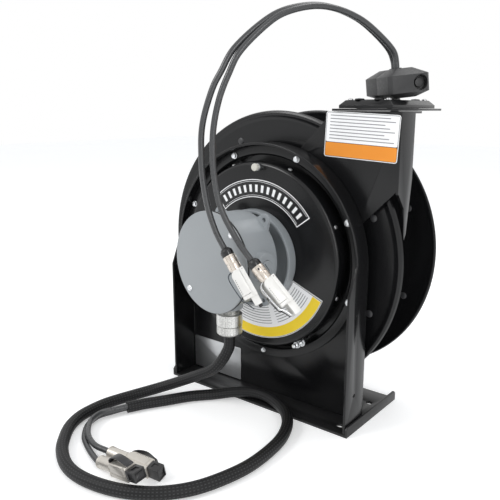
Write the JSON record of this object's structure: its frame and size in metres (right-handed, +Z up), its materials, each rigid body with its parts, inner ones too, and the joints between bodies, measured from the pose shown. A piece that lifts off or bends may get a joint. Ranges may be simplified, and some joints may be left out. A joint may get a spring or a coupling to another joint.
{
  "type": "spring driven cable reel",
  "caption": "Retractable twin-lead cable reel on a single pedestal frame, with a roller guide arm, a ball stop, a junction box and metal data plugs.",
  "frame": {"origin": "centre of the underside of the base foot", "axes": "+Z up, Y along the reel's axis with the junction box towards -Y, +X towards the guide arm's side"},
  "size_m": [0.356, 0.4117, 0.4866],
  "materials": {
    "black_coat": "glossy powder coat",
    "zinc": "bright zinc plate",
    "steel": "turned",
    "spring_steel": "blued strip",
    "brass": "polished",
    "grey_casting": "satin grey casting",
    "gasket_rubber": "matte",
    "insulator": "moulded",
    "charcoal_plastic": "moulded",
    "black_plastic": "moulded",
    "white_nylon": "moulded",
    "cable_jacket": "satin jacket",
    "braid": "braided sleeve",
    "nickel": "satin nickel"
  },
  "bodies": {
    "frame": {"base_foot": "black_coat", "frame_upright": "black_coat", "nameplate": "zinc", "clamp_ring": "black_coat", "frame_bolt_1": "zinc", "frame_bolt_2": "zinc", "frame_bolt_3": "zinc", "frame_bolt_4": "zinc", "frame_bolt_5": "zinc", "frame_bolt_6": "zinc", "frame_bolt_7": "zinc", "spring_cover": "black_coat", "cover_pin": "white_nylon", "spring_anchor_bolt": "zinc", "power_spring": "spring_steel", "front_bearing": "steel", "rear_bearing": "steel", "slip_ring_housing": "grey_casting", "brush_block": "insulator", "junction_box": "grey_casting", "box_gasket": "gasket_rubber", "box_cover": "grey_casting", "closure_plug": "grey_casting", "cable_gland": "zinc", "gland_nut": "zinc", "guide_arm": "black_coat", "roller_plate": "black_coat", "roller_tray": "black_coat", "ball_stop_front_half": "charcoal_plastic", "ball_stop_rear_half": "charcoal_plastic", "feed_cable_a": "cable_jacket", "feed_cable_b": "cable_jacket", "output_cord_a": "cable_jacket", "output_cord_b": "cable_jacket", "input_sleeve": "braid", "input_cord_a": "cable_jacket", "input_cord_b": "cable_jacket", "output_plug_a": "nickel", "output_plug_b": "nickel", "input_plug_a": "nickel", "input_plug_b": "nickel"},
    "spool": {"spindle": "steel", "spring_arbor": "steel", "slip_ring_rotor": "brass", "ratchet_wheel": "steel", "near_disc": "black_coat", "far_disc": "black_coat", "drum": "black_coat", "cable_pack": "cable_jacket", "wound_cable_a": "cable_jacket", "wound_cable_b": "cable_jacket"},
    "pawl": {"pawl": "steel"},
    "roller_front": {"roller_front": "black_plastic"},
    "roller_rear": {"roller_rear": "black_plastic"},
    "roller_inner": {"roller_inner": "black_plastic"},
    "roller_outer": {"roller_outer": "black_plastic"},
    "output_lever_a": {"output_plug_a_lever": "black_plastic"},
    "output_lever_b": {"output_plug_b_lever": "black_plastic"},
    "input_lever_a": {"input_plug_a_lever": "black_plastic"},
    "input_lever_b": {"input_plug_b_lever": "black_plastic"}
  },
  "joints": [
    {"name": "spool_spin", "type": "hinge", "parent": "frame", "child": "spool", "pos_m": [0, 0.036, 0.1964], "axis": [0, 1, 0], "continuous": true},
    {"name": "pawl_engage", "type": "hinge", "parent": "frame", "child": "pawl", "pos_m": [-0.04844, -0.014, 0.21231], "axis": [0, 1, 0], "range_deg": [0, 12]},
    {"name": "roller_front_spin", "type": "hinge", "parent": "frame", "child": "roller_front", "pos_m": [0.1265, -0.004, 0.3819], "axis": [1, 0, 0], "continuous": true},
    {"name": "roller_rear_spin", "type": "hinge", "parent": "frame", "child": "roller_rear", "pos_m": [0.1265, 0.076, 0.3819], "axis": [1, 0, 0], "continuous": true},
    {"name": "roller_inner_spin", "type": "hinge", "parent": "frame", "child": "roller_inner", "pos_m": [0.1075, 0.036, 0.3789], "axis": [0, 1, 0], "continuous": true},
    {"name": "roller_outer_spin", "type": "hinge", "parent": "frame", "child": "roller_outer", "pos_m": [0.1455, 0.036, 0.3789], "axis": [0, 1, 0], "continuous": true},
    {"name": "output_latch_a", "type": "hinge", "parent": "frame", "child": "output_lever_a", "pos_m": [0.04834, -0.15774, 0.20421], "axis": [0.58, -0.7498, 0.3183], "range_deg": [0, 1.5], "stiffness_Nm_per_rad": 0.02},
    {"name": "output_latch_b", "type": "hinge", "parent": "frame", "child": "output_lever_b", "pos_m": [0.08224, -0.14743, 0.19687], "axis": [0.685, -0.5074, 0.5229], "range_deg": [0, 1.5], "stiffness_Nm_per_rad": 0.02},
    {"name": "input_latch_a", "type": "hinge", "parent": "frame", "child": "input_lever_a", "pos_m": [-0.00878, -0.28338, 0.01942], "axis": [0.0654, 0.9868, 0.148], "range_deg": [0, 1.5], "stiffness_Nm_per_rad": 0.02},
    {"name": "input_latch_b", "type": "hinge", "parent": "frame", "child": "input_lever_b", "pos_m": [-0.01267, -0.25388, 0.01016], "axis": [-0.0248, 0.2425, -0.9698], "range_deg": [0, 1.5], "stiffness_Nm_per_rad": 0.02}
  ]
}
